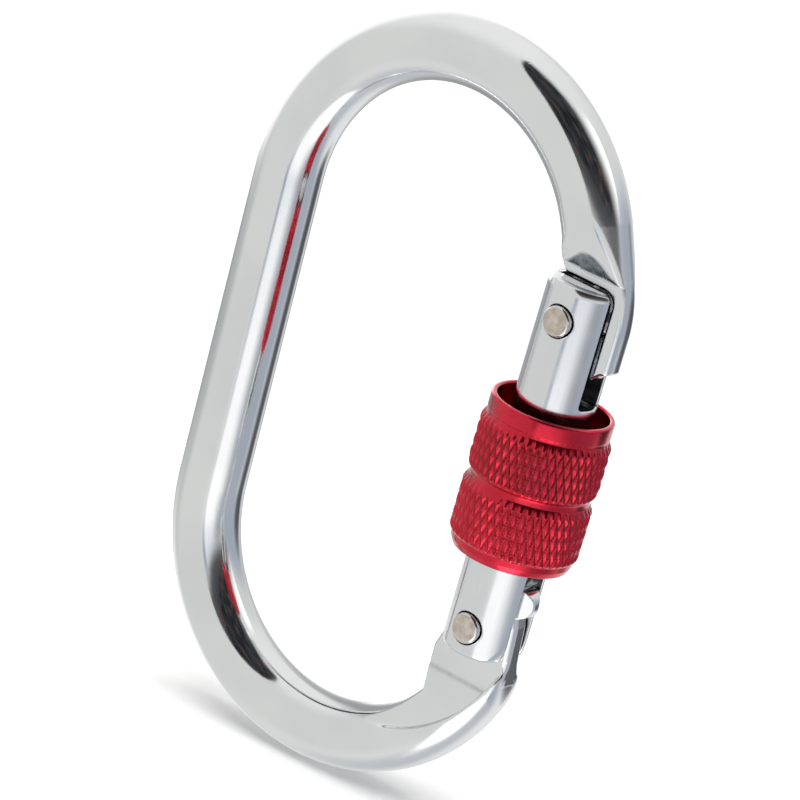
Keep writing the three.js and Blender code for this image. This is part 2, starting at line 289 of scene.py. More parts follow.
def tang_field(x, y, u, w, bar):
    """The lower half: bar, the tang's flat cheeks and ramp inside a raised outer rim, its plate and lobe."""
    web = np.abs(y) - WEB_HALF
    gate_side = x > 0
    ramp = (web - TANG_RAMP_SLOPE * (CREASE_W - w)) / math.hypot(1, TANG_RAMP_SLOPE)
    crease = CREASE_DEPTH * np.exp(-((w - CREASE_W) / CREASE_WIDTH) ** 2)
    deck = union(web, ramp, 1.0) + crease
    rim = RIM_INNER_RADIUS - np.hypot(u - RIM_CENTRE[0], w - RIM_CENTRE[1])
    ridge = (web - RIDGE_SLOPE * (RIDGE_W - w)) / math.hypot(1, RIDGE_SLOPE)
    kept = np.where(gate_side, union(deck, common(rim, ridge, 0.5), 0.5), -FAR)
    steel = common(bar, kept, 0.55)
    steel = common(steel, np.where(gate_side, u - TANG_OUTER + TANG_FLARE * w, -FAR), TANG_EDGE)
    steel = common(steel, np.where(gate_side, w - TANG_BAR_TOP, -FAR), TANG_EDGE)
    room = np.maximum(np.hypot(u, w) - HEEL_ROOM, -web)
    steel = cut(steel, room, 0.5)

    outline = polygon(u, w, TANG_OUTLINE) - TANG_ROUNDING
    lobe = np.hypot(u - TANG_LOBE[0], w - TANG_LOBE[1]) - TANG_LOBE[2]
    face = web * math.cos(LOBE_TURN) + (u - LOBE_SLOPE_FROM) * math.sin(LOBE_TURN)
    lobe = common(lobe, common(face, web, 0.3), 0.15)
    plate = union(common(outline, deck, TANG_EDGE), lobe, 0.2)
    return cut(np.minimum(steel, plate), np.hypot(u, w) - PIN_HOLE_RADIUS, 0.1)


def body_field(x, y, z):
    """The whole forging, from the oval's centre."""
    u, w = gate_coords(x, z)
    line = centreline(x, z)
    bar = np.hypot(line, y) - BAR_RADIUS
    return np.where(z > 0, nose_field(u, y, w, bar, line), tang_field(x, y, u, w, bar))


# ---- gate

HEEL_RADIUS = 5.95           # the gate's lower end is rounded about the hinge
HEEL_TOP = 3.0
GATE_CHAMFER = 0.6
UPPER_SLOT_FLOOR = 35.2
UPPER_SLOT_WALL = -3.9       # the upper slot leaves this inner wall standing
LOWER_SLOT_ROOF = 10.9
THREAD_FROM, THREAD_TO = 12.6, 25.4
THREAD_PITCH = 2.0
THREAD_DEPTH = 0.7
THREAD_FLANK = 1.6           # 1 would be a plain zigzag; more gives flat crests and roots
BORE_RADIUS = 2.0
BORE_END = 26.0


def gate_field(u, y, w):
    """The gate: a threaded barrel with a round heel, two slots, the spring's bore and two pin holes."""
    r = np.hypot(u, y)
    ay = np.abs(y)
    turns = w / THREAD_PITCH - np.arctan2(y, u) / (2 * math.pi)
    wave = np.abs(turns - np.round(turns)) * 4 - 1
    crest = THREAD_RADIUS - 0.02
    thread = crest - THREAD_DEPTH * (0.5 + 0.5 * np.clip(wave * THREAD_FLANK, -1, 1))
    run_out = np.clip(np.minimum(w - THREAD_FROM, THREAD_TO - w), 0, 1)
    barrel = (r - GATE_RADIUS - run_out * (thread - GATE_RADIUS)) * 0.9   # keeps the slope under 1
    barrel = common(barrel, w - GATE_TOP, 0.15)
    chamfer = (r + w - GATE_RADIUS - GATE_TOP + GATE_CHAMFER) * math.sqrt(0.5)
    barrel = common(barrel, chamfer, 0.5)
    heel = np.where(w < 0, np.hypot(u, w), np.abs(u)) - HEEL_RADIUS
    barrel = common(barrel, GATE_BOTTOM - w, 0.9)
    barrel = common(barrel, np.where(w < HEEL_TOP, heel, -FAR), 0.9)
    upper_slot = common(common(ay - SLOT_HALF, UPPER_SLOT_FLOOR - w, 0.8), UPPER_SLOT_WALL - u, 0.3)
    lower_slot = common(ay - SLOT_HALF, w - LOWER_SLOT_ROOF, 0.8)
    bore = np.maximum(np.maximum(r - BORE_RADIUS, w - BORE_END), LOWER_SLOT_ROOF - 1 - w)
    holes = np.minimum(np.hypot(u, w), np.hypot(u, w - LATCH_W)) - PIN_HOLE_RADIUS
    barrel = cut(barrel, upper_slot, 0.3)
    barrel = cut(barrel, lower_slot, 0.3)
    barrel = np.maximum(barrel, -bore)
    return cut(barrel, holes, 0.3)


# ---------------------------------------------------------------- meshing

PROJECTION_STEPS = 4         # Newton steps that bring each vertex onto the surface
PROJECTION_REACH = 0.12      # and the furthest that one of them may move it


def graded_axis(low, high, step_at):
    """Grid marks from low to high, each a step further on than the last."""
    marks = [low]
    while marks[-1] < high:
        marks.append(marks[-1] + step_at(marks[-1]))
    return np.array(marks)


def gradient(field, points, reach=0.01):
    """A field's slope at each point, by central differences."""
    slopes = []
    for k in range(3):
        ahead, behind = points.copy(), points.copy()
        ahead[:, k] += reach
        behind[:, k] -= reach
        slopes.append((field(*ahead.T) - field(*behind.T)) / (2 * reach))
    return np.stack(slopes, axis=1)


def mesh_field(field, axes):
    """Vertices, quads and outward normals of a field's zero surface, by surface nets on a graded grid."""
    shape = tuple(len(a) for a in axes)
    values = field(axes[0][:, None, None], axes[1][None, :, None], axes[2][None, None, :])
    grid = np.ascontiguousarray(np.broadcast_to(values, shape), dtype=np.float32)
    inside = grid < 0
    corners = [(i, j, k) for i in (0, 1) for j in (0, 1) for k in (0, 1)]
    count = sum(inside[i:shape[0] - 1 + i, j:shape[1] - 1 + j, k:shape[2] - 1 + k].astype(np.int8)
                for i, j, k in corners)
    active = (count > 0) & (count < 8)
    cells = np.argwhere(active)
    index = np.full(active.shape, -1, np.int64)
    index[active] = np.arange(len(cells))

    total = np.zeros((len(cells), 3))
    hits = np.zeros(len(cells))
    for axis in range(3):
        for start in (c for c in corners if c[axis] == 0):
            near = cells + start
            far = near.copy()
            far[:, axis] += 1
            v0, v1 = grid[tuple(near.T)].astype(float), grid[tuple(far.T)].astype(float)
            crossed = (v0 < 0) != (v1 < 0)
            t = np.where(crossed, v0 / np.where(crossed, v0 - v1, 1), 0)
            p0 = np.stack([axes[k][near[:, k]] for k in range(3)], axis=1)
            p0[:, axis] += t * (axes[axis][far[:, axis]] - axes[axis][near[:, axis]])
            total += p0 * crossed[:, None]
            hits += crossed
    points = total / hits[:, None]

    quads = []
    for axis in range(3):
        b, c = (axis + 1) % 3, (axis + 2) % 3
        low = [slice(1, -1)] * 3
        low[axis] = slice(0, -1)
        high = list(low)
        high[axis] = slice(1, None)
        at_low = inside[tuple(low)]
        edges = np.argwhere(at_low != inside[tuple(high)])
        leaving = at_low[tuple(edges.T)]
        edges[:, b] += 1
        edges[:, c] += 1
        ring = []
        for back_b, back_c in ((1, 1), (0, 1), (0, 0), (1, 0)):
            cell = edges.copy()
            cell[:, b] -= back_b
            cell[:, c] -= back_c
            ring.append(index[tuple(cell.T)])
        ring = np.stack(ring, axis=1)
        quads.append(np.where(leaving[:, None], ring, ring[:, ::-1]))
    quads = np.concatenate(quads)

    for _ in range(PROJECTION_STEPS):
        slope = gradient(field, points)
        size = np.maximum((slope ** 2).sum(1), 0.25)
        step = (field(*points.T) / size)[:, None] * slope
        points = points - np.clip(step, -PROJECTION_REACH, PROJECTION_REACH)
    slope = gradient(field, points)
    return points, quads, slope / np.linalg.norm(slope, axis=1, keepdims=True)


def lathe(profile, sides, closed=True):
    """A turned surface from (radius, height) points.

    A closed profile makes a ring, and an open one ends on the axis."""
    profile = np.array(profile, float)
    angle = np.arange(sides) * 2 * math.pi / sides
    rows = profile if closed else profile[1:-1]
    points = np.stack([np.outer(rows[:, 0], np.cos(angle)), np.outer(rows[:, 0], np.sin(angle)),
                       np.repeat(rows[:, 1:2], sides, axis=1)], axis=2).reshape(-1, 3)
    count = len(rows)
    faces = []
    for i in range(count if closed else count - 1):
        here, there = i * sides, (i + 1) % count * sides
        for j in range(sides):
            k = (j + 1) % sides
            faces.append((here + j, here + k, there + k, there + j))
    if not closed:
        ends = np.array([[0, 0, profile[0, 1]], [0, 0, profile[-1, 1]]])
        first, last = len(points), len(points) + 1
        points = np.concatenate([points, ends])
        top = (count - 1) * sides
        for j in range(sides):
            k = (j + 1) % sides
            faces.append((first, k, j))
            faces.append((last, top + j, top + k))
    return points, faces


def rounded(corners, closed=True, step_deg=12):
    """A profile with every (radius, height, fillet) corner rounded off."""
    out = []
    count = len(corners)
    for i, (r, h, fillet) in enumerate(corners):
        here = np.array([r, h], float)
        if fillet == 0 or (not closed and i in (0, count - 1)):
            out.append(here)
            continue
        before = np.array(corners[i - 1][:2], float) - here
        after = np.array(corners[(i + 1) % count][:2], float) - here
        a, b = before / np.linalg.norm(before), after / np.linalg.norm(after)
        half = math.acos(np.clip(a @ b, -1, 1)) / 2
        if half > math.radians(89):
            out.append(here)
            continue
        reach = fillet / math.tan(half)
        centre = here + (a + b) / np.linalg.norm(a + b) * fillet / math.sin(half)
        start, stop = here + a * reach - centre, here + b * reach - centre
        turn = math.pi - 2 * half
        steps = max(2, math.ceil(math.degrees(turn) / step_deg))
        sign = 1 if start[0] * stop[1] - start[1] * stop[0] > 0 else -1
        for s in range(steps + 1):
            t = sign * turn * s / steps
            out.append(centre + [start[0] * math.cos(t) - start[1] * math.sin(t),
                                 start[0] * math.sin(t) + start[1] * math.cos(t)])
    return np.array(out)


# ---------------------------------------------------------------- placing

def from_oval(points):
    """Row-frame metres from millimetres about the oval's centre."""
    return (points + [OVAL_X, 0, 0]) * MM


def turn_from_gate(vectors):
    """Directions given as (u, y, w), in the row frame."""
    u, y, w = vectors[:, 0], vectors[:, 1], vectors[:, 2]
    return np.stack([u * LEAN_COS + w * LEAN_SIN, y, w * LEAN_COS - u * LEAN_SIN], axis=1)


def from_gate(points):
    """Row-frame metres from millimetres in the gate's frame."""
    return (turn_from_gate(points) + np.array(HINGE)) * MM


def put(name, data):
    """A new object in the scene."""
    made = bpy.data.objects.new(name, data)
    bpy.context.scene.collection.objects.link(made)
    return made


def piece(name, points, faces, material, body, stands_for, normals=None, sharp=None):
    """A visual piece that rides on a body and stands for a CAD node."""
    mesh = bpy.data.meshes.new(name)
    mesh.from_pydata(points.tolist(), [], faces.tolist() if isinstance(faces, np.ndarray) else faces)
    mesh.shade_smooth()
    if sharp is not None:
        mesh.set_sharp_from_angle(angle=math.radians(sharp))
    if normals is not None:
        mesh.normals_split_custom_set_from_vertices(normals.tolist())
    mesh.materials.append(material)
    made = put(name, mesh)
    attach(made, body)
    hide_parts(stands_for)
    return made


def mark_vertices(made, name, values):
    """Stores one number for each vertex, for the material to read."""
    made.data.attributes.new(name, "FLOAT", "POINT").data.foreach_set("value", values)


# ---------------------------------------------------------------- materials

def add(tree, kind, inputs=None, **settings):
    """A new node. An input given as a socket is linked, and any other value is set."""
    made = tree.nodes.new(kind)
    for key, value in settings.items():
        setattr(made, key, value)
    for key, value in (inputs or {}).items():
        if isinstance(value, bpy.types.NodeSocket):
            tree.links.new(value, made.inputs[key])
        else:
            made.inputs[key].default_value = value
    return made


def maths(tree, operation, a, b=0.0):
    """One step of arithmetic on sockets or numbers."""
    return add(tree, "ShaderNodeMath", {0: a, 1: b}, operation=operation).outputs[0]


def fade(tree, value, start, stop, low=0.0, high=1.0):
    """Smoothly from low at start to high at stop."""
    return add(tree, "ShaderNodeMapRange", {0: value, 1: start, 2: stop, 3: low, 4: high},
               interpolation_type="SMOOTHSTEP").outputs[0]


def blend_colours(tree, share, a, b):
    """a where share is 0, b where it is 1."""
    return add(tree, "ShaderNodeMix", {0: share, 6: a, 7: b}, data_type="RGBA").outputs[2]


def colour(r, g, b):
    """A linear colour with full alpha."""
    return (r, g, b, 1.0)


def noise(tree, where, scale, detail):
    """Fractal noise, with scale in cells to the metre."""
    return add(tree, "ShaderNodeTexNoise", {"Vector": where, "Scale": scale, "Detail": detail}).outputs[0]


def place(tree, scale=(1, 1, 1), turn=(0, 0, 0)):
    """The surface point in metres, turned and scaled."""
    source = add(tree, "ShaderNodeTexCoord").outputs["Object"]
    return add(tree, "ShaderNodeMapping", {"Vector": source, "Scale": scale, "Rotation": turn}).outputs[0]


def along_gate(tree, scale):
    """The surface point turned so that Z runs up the gate, then scaled."""
    return place(tree, scale=scale, turn=(0, math.asin(-LEAN_SIN), 0))


def bump(tree, height, depth, strength, under=None):
    """A normal from a height, on top of another bump where one is given."""
    inputs = {"Strength": strength, "Distance": depth, "Height": height}
    if under is not None:
        inputs["Normal"] = under
    return add(tree, "ShaderNodeBump", inputs).outputs[0]


def vertex_mark(tree, name):
    """The number that mark_vertices stored."""
    return add(tree, "ShaderNodeAttribute", attribute_name=name).outputs["Fac"]


def new_material(name):
    """A material with its node tree and its Principled shader."""
    made = bpy.data.materials.new(name)
    made.use_nodes = True
    shader = next(n for n in made.node_tree.nodes if n.type == "BSDF_PRINCIPLED")
    return made, made.node_tree, shader


def metal(name, base, roughness, detail, **extra):
    """A metal whose detail function returns (colour, roughness, normal) sockets.

    A None among them leaves that input plain."""
    made, tree, shader = new_material(name)
    shader.inputs["Base Color"].default_value = base
    shader.inputs["Metallic"].default_value = 1.0
    shader.inputs["Roughness"].default_value = roughness
    for key, value in extra.items():
        shader.inputs[key.replace("_", " ")].default_value = value
    for socket, key in zip(detail(tree), ("Base Color", "Roughness", "Normal")):
        if socket is not None:
            tree.links.new(socket, shader.inputs[key])
    return made


def plated_detail(tree):
    """Bright plate with faint clouds, waves and pits. Where the sawn mark is set it turns a dark scuffed grey
    and rougher: on the nose's ramp a rougher sawn finish whose darkness is partly painted shade, and along
    the tang's crease painted shade.
    """
    where = place(tree)
    cloud = fade(tree, noise(tree, where, 60, 3), 0.35, 0.65)
    tint = blend_colours(tree, cloud, colour(0.80, 0.815, 0.83), colour(0.86, 0.87, 0.875))
    rough = fade(tree, noise(tree, where, 240, 4), 0.3, 0.75, 0.07, 0.13)
    scuffs = fade(tree, noise(tree, where, 900, 4), 0.35, 0.75)
    # painted shade: this dark grey darkens the ramp and the crease, where shade falls
    scuffed_and_shaded = blend_colours(tree, scuffs, colour(0.16, 0.18, 0.20), colour(0.42, 0.45, 0.48))
    sawn_shade = vertex_mark(tree, "sawn_shade")
    tint = blend_colours(tree, sawn_shade, tint, scuffed_and_shaded)
    rough = maths(tree, "ADD", rough, maths(tree, "MULTIPLY", sawn_shade, 0.18))
    wave = noise(tree, where, 350, 2)
    pits = fade(tree, noise(tree, where, 1500, 2), 0.22, 0.34)
    normal = bump(tree, pits, 0.00002, 0.25, bump(tree, wave, 0.00003, 0.35))
    return tint, rough, normal


def gate_detail(tree):
    """Drawn steel, its grain running up the gate."""
    grain = noise(tree, along_gate(tree, (1, 1, 0.06)), 2500, 2)
    tint = blend_colours(tree, grain, colour(0.78, 0.80, 0.82), colour(0.84, 0.85, 0.86))
    rough = fade(tree, noise(tree, place(tree), 300, 3), 0.3, 0.7, 0.10, 0.20)
    return tint, rough, bump(tree, grain, 0.00001, 0.5)


def pin_detail(tree):
    """Plain steel sides and duller, warmer end faces."""
    where = place(tree)
    cloud = noise(tree, where, 900, 3)
    shade = fade(tree, cloud, 0.3, 0.7)
    face = blend_colours(tree, shade, colour(0.56, 0.48, 0.41), colour(0.76, 0.69, 0.61))
    surface_normal = add(tree, "ShaderNodeTexCoord").outputs["Normal"]
    along_pin = add(tree, "ShaderNodeSeparateXYZ", {0: surface_normal}).outputs[1]
    flat = fade(tree, maths(tree, "ABSOLUTE", along_pin), 0.90, 0.97)
    tint = blend_colours(tree, flat, colour(0.70, 0.69, 0.68), face)
    rough = maths(tree, "ADD", maths(tree, "MULTIPLY", flat, 0.28), fade(tree, cloud, 0.3, 0.7, 0.10, 0.18))
    normal = bump(tree, noise(tree, where, 2500, 3), 0.00002, 0.4)
    return tint, rough, normal


def anodised_detail(tree):
    """Turned red anodising, with painted shade darkening the knurl's grooves."""
    turned = noise(tree, along_gate(tree, (0.02, 0.02, 1)), 5000, 3)
    cloud = fade(tree, noise(tree, place(tree), 500, 3), 0.3, 0.7)
    tint = blend_colours(tree, cloud, colour(0.62, 0.005, 0.026), colour(0.72, 0.010, 0.042))
    # painted shade: the deeper down a groove, the darker the red
    groove_shading = fade(tree, vertex_mark(tree, "groove_shade"), 0.2, 1.0)
    tint = blend_colours(tree, groove_shading, tint, colour(0.27, 0.001, 0.008))
    rough = fade(tree, noise(tree, place(tree), 2200, 3), 0.3, 0.7, 0.17, 0.25)
    return tint, rough, bump(tree, turned, 0.00001, 0.35)


def spring_detail(tree):
    """Dark drawn wire."""
    where = place(tree)
    tint = blend_colours(tree, noise(tree, where, 1500, 3), colour(0.32, 0.33, 0.35), colour(0.5, 0.51, 0.53))
    return tint, fade(tree, noise(tree, where, 2600, 2), 0.3, 0.7, 0.22, 0.4), None


def rubber_detail(tree):
    """Dull moulded black rubber."""
    where = place(tree)
    dust = noise(tree, where, 700, 3)
    tint = blend_colours(tree, dust, colour(0.010, 0.010, 0.011), colour(0.022, 0.022, 0.024))
    rough = fade(tree, noise(tree, where, 1500, 2), 0.3, 0.7, 0.6, 0.85)
    return tint, rough, bump(tree, noise(tree, where, 4000, 2), 0.00002, 0.6)


PLATED = metal("plated_steel", colour(0.83, 0.845, 0.86), 0.1, plated_detail)
GATE_STEEL = metal("gate_steel", colour(0.81, 0.825, 0.84), 0.14, gate_detail)
PIN_STEEL = metal("pin_steel", colour(0.6, 0.53, 0.46), 0.35, pin_detail)
SPRING_STEEL = metal("spring_steel", colour(0.4, 0.41, 0.43), 0.3, spring_detail)
ANODISED = metal("red_anodised", colour(0.68, 0.015, 0.045), 0.2, anodised_detail, Coat_Weight=0.6,
                 Coat_Roughness=0.06)
RUBBER = metal("ring_rubber", colour(0.015, 0.015, 0.016), 0.7, rubber_detail, Metallic=0.0)


# ---------------------------------------------------------------- pieces

def sawn_and_shaded(points):
    """1 on the nose's steep ramp, and a little along the crease across the tang: the ramp gets a rougher sawn
    finish darkened with painted shade, and the crease gets painted shade.
    """
    x, y, z = points.T
    u, w = gate_coords(x, z)
    facet, ramp = nose_planes(u, np.abs(y), w, centreline(x, z))
    on_ramp = (u > -8) & (w > STEP_W) & (w < FACET_W + 1) & (np.abs(ramp) < 0.12)
    on_tang = (x > 0) & (u < 4.2) & (np.abs(y) > WEB_HALF - 0.3)
    crease = 0.4 * np.exp(-((w - CREASE_W) / 0.35) ** 2)
    return on_ramp * np.clip((ramp - facet) / 0.12 + 0.3, 0, 1) + on_tang * crease


def build_body():
    """The oval forging, on a grid that is finer round the nose and the tang."""
    coarse, fine = 0.45, 0.25
    left, right, side, end = -33.3, 34.9, 5.6, 56.7
    xs = graded_axis(left, right, lambda x: fine if x > 12 else coarse)
    ys = np.linspace(-side, side, round(2 * side / fine))
    zs = graded_axis(-end, end, lambda z: fine if -47 < z < -17 or 12 < z < 38 else coarse)
    points, quads, normals = mesh_field(body_field, (xs, ys, zs))
    made = piece("body_forging", from_oval(points), quads, PLATED, "frame", "body", normals)
    # the ramp and the tang's crease are marked for painted shade, and the ramp also for a rougher sawn finish
    mark_vertices(made, "sawn_shade", sawn_and_shaded(points))


def build_gate():
    """The gate's turned, slotted and threaded bar."""
    grid, side = 0.2, 7.3
    across = np.linspace(-side, side, round(2 * side / grid) + 1)
    up = np.arange(GATE_BOTTOM - 0.5, GATE_TOP + 0.6, grid)
    points, quads, normals = mesh_field(gate_field, (across, across, up))
    piece("gate_barrel", from_gate(points), quads, GATE_STEEL, "gate", "gate",
          turn_from_gate(normals))


def build_pin(name, w, body):
    """A pin across the gate, its ends rounded over and very slightly domed."""
    half, dome, shoulder = PIN_HALF_LENGTH + 0.1, 0.05, 0.5
    corners = [(0, -half, 0), (PIN_RADIUS, -half + dome, shoulder), (PIN_RADIUS, half - dome, shoulder),
               (0, half, 0)]
    points, faces = lathe(rounded(corners, closed=False, step_deg=8), 96, closed=False)
    points = np.stack([points[:, 1], points[:, 2], points[:, 0] + w], axis=1)
    piece(name + "_turned", from_gate(points), faces, PIN_STEEL, body, name, sharp=40)


KNURL_TEETH = 48
KNURL_PITCH = 3.7            # along the sleeve, from one diamond to the next in line
KNURL_DEPTH = 0.42
KNURL_CROWN = 0.85           # a tooth's flanks reach its flat crown at this share of their height
KNURL_STEPS = 8              # mesh columns to a tooth
KNURL_BANDS = ((12.7, 20.9), (22.6, 30.5))
KNURL_INSIDE = 8.3           # no surface inside this radius is knurled


def knurl_height(column, w):
    """0 in the grooves, 1 on the flat crowns of the diamonds."""
    turn = column / KNURL_STEPS
    rise = w / KNURL_PITCH

    def ridge(t):
        return 1 - np.abs(2 * (t - np.floor(t)) - 1)

    return np.minimum(np.minimum(ridge(turn + rise), ridge(turn - rise)) / KNURL_CROWN, 1)


def sleeve_profile():
    """The sleeve's section: up the outside, over the mouth and down the bore with its ring groove."""
    groove_half, groove_radius = 0.85, 7.7
    ring_w = (RING_LOW[2] + RING_HIGH[2]) / 2
    bottom, top = SLEEVE_BOTTOM, SLEEVE_TOP
    crest = KNURL_RADIUS
    return rounded([
        (7.7, bottom, 0.15), (8.45, bottom + 0.3, 0.3), (8.85, bottom + 1.2, 0.4), (8.9, 12.5, 0.1),
        (crest - 0.12, 13.0, 0.2), (crest - 0.05, 20.1, 0.7), (8.75, 21.2, 0.3), (8.75, 22.0, 0.4),
        (9.2, 22.5, 0.3), (crest, 23.0, 0.25), (crest, 29.7, 0.8), (8.8, 30.8, 0.25), (8.8, 31.1, 0.15),
        (8.97, 31.35, 0.12), (8.97, top, 0.4), (8.15, top, 0.3), (8.2, top - 0.7, 0.2), (8.2, 28.0, 0.3),
        (6.95, 28.0, 0.1), (6.95, ring_w + groove_half, 0.1), (groove_radius, ring_w + groove_half, 0.1),
        (groove_radius, ring_w - groove_half, 0.1), (7.25, ring_w - groove_half, 0.1), (7.25, 17.8, 0.1),
        (7.05, 17.4, 0.1), (7.05, bottom + 0.45, 0.1), (7.5, bottom, 0.1),
    ])


def with_knurl_rows(path):
    """The profile with extra points on its outer side, half a mesh column's rise apart."""
    rows = []
    step = KNURL_PITCH / KNURL_STEPS / 2
    for here, there in zip(path, np.roll(path, -1, axis=0)):
        rows.append(here)
        low, high = min(here[1], there[1]), max(here[1], there[1])
        marks = np.arange(math.floor(low / step) + 1, math.ceil(high / step)) * step
        outer = min(here[0], there[0]) > KNURL_RADIUS - KNURL_DEPTH - 0.05
        for w in (marks if there[1] > here[1] else marks[::-1]) if outer else ():
            t = (w - here[1]) / (there[1] - here[1])
            if 0.02 < t < 0.98:
                rows.append(here + (there - here) * t)
    return np.array(rows)


def build_sleeve():
    """The locking sleeve, its diamond knurl cut into the mesh."""
    rows = with_knurl_rows(sleeve_profile())
    sides = KNURL_TEETH * KNURL_STEPS
    column = np.arange(sides)[None, :]
    plain, w = rows[:, 0:1], rows[:, 1:2]
    knurled = np.zeros(w.shape, bool)
    for low, high in KNURL_BANDS:
        knurled |= (w > low) & (w < high)
    cut_to = KNURL_RADIUS - KNURL_DEPTH * (1 - knurl_height(column, w))
    radius = np.where(knurled & (plain > KNURL_INSIDE), np.minimum(plain, cut_to), plain)
    angle = column * 2 * math.pi / sides
    height = np.broadcast_to(w, radius.shape)
    points = np.stack([radius * np.cos(angle), radius * np.sin(angle), height], axis=2)

    # each mesh square is split along its more level diagonal, so that the grooves stay clean
    count = len(rows)
    i, j = np.meshgrid(np.arange(count), np.arange(sides), indexing="ij")
    i2, j2 = (i + 1) % count, (j + 1) % sides
    a, b, c, d = i * sides + j, i * sides + j2, i2 * sides + j2, i2 * sides + j
    across = (np.abs(radius[i, j] - radius[i2, j2]) <= np.abs(radius[i, j2] - radius[i2, j]))[..., None]
    first = np.where(across, np.stack([a, b, c], 2), np.stack([a, b, d], 2)).reshape(-1, 3)
    second = np.where(across, np.stack([a, c, d], 2), np.stack([b, c, d], 2)).reshape(-1, 3)
    made = piece("lock_sleeve_knurled", from_gate(points.reshape(-1, 3)), np.concatenate([first, second]),
                 ANODISED, "sleeve", "lock_sleeve", sharp=50)
    # each vertex's depth in the knurl, which the material paints as shade in the grooves
    depth = np.maximum(plain - radius, 0) / KNURL_DEPTH
    mark_vertices(made, "groove_shade", depth.reshape(-1))


def build_spring():
    """A coil, as a tube along a helix."""
    wire, turns, sides, per_turn = 0.25, 8, 12, 40
    coil_radius = (SPRING_HIGH[1] - SPRING_LOW[1]) / 2 - wire
    low, high = SPRING_LOW[2] + wire, SPRING_HIGH[2] - wire
    t = np.linspace(0, 1, turns * per_turn + 1)
    angle = t * turns * 2 * math.pi
    out = np.stack([np.cos(angle), np.sin(angle), 0 * angle], axis=1)
    line = coil_radius * out
    line[:, 2] = low + (high - low) * t
    along = np.gradient(line, axis=0)
    along /= np.linalg.norm(along, axis=1, keepdims=True)
    side = np.cross(along, out)
    points = []
    for s in range(sides):
        turn = 2 * math.pi * s / sides
        points.append(line + wire * (math.cos(turn) * out + math.sin(turn) * side))
    points = np.stack(points, axis=1).reshape(-1, 3)
    faces = []
    for i in range(len(line) - 1):
        for s in range(sides):
            k = (s + 1) % sides
            faces.append((i * sides + s, i * sides + k, (i + 1) * sides + k, (i + 1) * sides + s))
    last = (len(line) - 1) * sides
    faces.append(tuple(range(sides))[::-1])
    faces.append(tuple(last + s for s in range(sides)))
    made = piece("gate_spring_coil", from_gate(points), faces, SPRING_STEEL, "gate", "gate_spring")
    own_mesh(made)


def build_plunger():
    """The plunger, its lower end rounded where it rubs on the tang."""
    radius = PLUNGER_HIGH[1]
    tip, head = PLUNGER_LOW[2], PLUNGER_HIGH[2]
    corners = [(0, tip, 0), (radius * 0.62, tip + 0.25, 0.9), (radius, tip + radius, 0.9),
               (radius, head, 0.15), (0, head, 0)]
    points, faces = lathe(rounded(corners, closed=False, step_deg=6), 64, closed=False)
    piece("spring_plunger_turned", from_gate(points), faces, PIN_STEEL, "plunger", "spring_plunger",
          sharp=40)


def build_ring():
    """The round rubber ring in the sleeve's groove."""
    section = (RING_HIGH[2] - RING_LOW[2]) / 2
    radius = RING_HIGH[1] - section
    w = (RING_LOW[2] + RING_HIGH[2]) / 2
    sides = 24
    profile = [(radius + section * math.cos(t), w + section * math.sin(t))
               for t in np.arange(sides) * 2 * math.pi / sides]
    points, faces = lathe(profile, 96)
    piece("sleeve_ring_moulded", from_gate(points), faces, RUBBER, "ring", "sleeve_ring")


build_body()
build_gate()
build_pin("hinge_pin", 0.0, "frame")
build_pin("latch_pin", LATCH_W, "gate")
build_sleeve()
build_spring()
build_plunger()
build_ring()


# ---------------------------------------------------------------- studio

def toward(azimuth, elevation):
    """A unit vector; azimuth 0 is -Y and 90 is +X."""
    a, e = math.radians(azimuth), math.radians(elevation)
    return Vector((math.sin(a) * math.cos(e), -math.cos(a) * math.cos(e), math.sin(e)))


def facing(tree, way, target):
    """The cosine between a direction and a target direction."""
    node = add(tree, "ShaderNodeVectorMath", {0: way, 1: target}, operation="DOT_PRODUCT")
    return node.outputs["Value"]


def cap(tree, way, azimuth, elevation, full, reach):
    """1 within the full angle of a centre, fading to 0 at its reach."""
    value = facing(tree, way, toward(azimuth, elevation))
    return fade(tree, value, math.cos(math.radians(reach)), math.cos(math.radians(full)))


def product(tree, *factors):
    """All the factors multiplied together."""
    result = factors[0]
    for factor in factors[1:]:
        result = maths(tree, "MULTIPLY", result, factor)
    return result


def dark_opening(tree, way, height):
    """The share and colour of a doorway high on the camera's right, with a dim cluttered room behind it."""
    side = fade(tree, facing(tree, way, toward(62, 45)), 0.632, 0.66)
    top = fade(tree, facing(tree, way, Vector((-0.135, 0.366, 0.921))), 0.93, 0.80)
    share = product(tree, side, fade(tree, height, 0.08, 0.36), top)
    stretched = add(tree, "ShaderNodeMapping", {"Vector": way, "Scale": (3.0, 3.0, 5.0)}).outputs[0]
    clutter = noise(tree, stretched, 2.6, 4)
    shades = fade(tree, clutter, 0.35, 0.65)
    room = blend_colours(tree, shades, colour(0.012, 0.014, 0.018), colour(0.05, 0.053, 0.057))
    room = blend_colours(tree, fade(tree, height, 0.60, 0.30), room, colour(0.10, 0.105, 0.11))
    room = blend_colours(tree, fade(tree, clutter, 0.60, 0.66), room, colour(0.16, 0.065, 0.03))
    window = fade(tree, facing(tree, way, toward(165, 35)), 0.45, 1.02)
    return share, blend_colours(tree, window, room, colour(1.8, 1.79, 1.78))


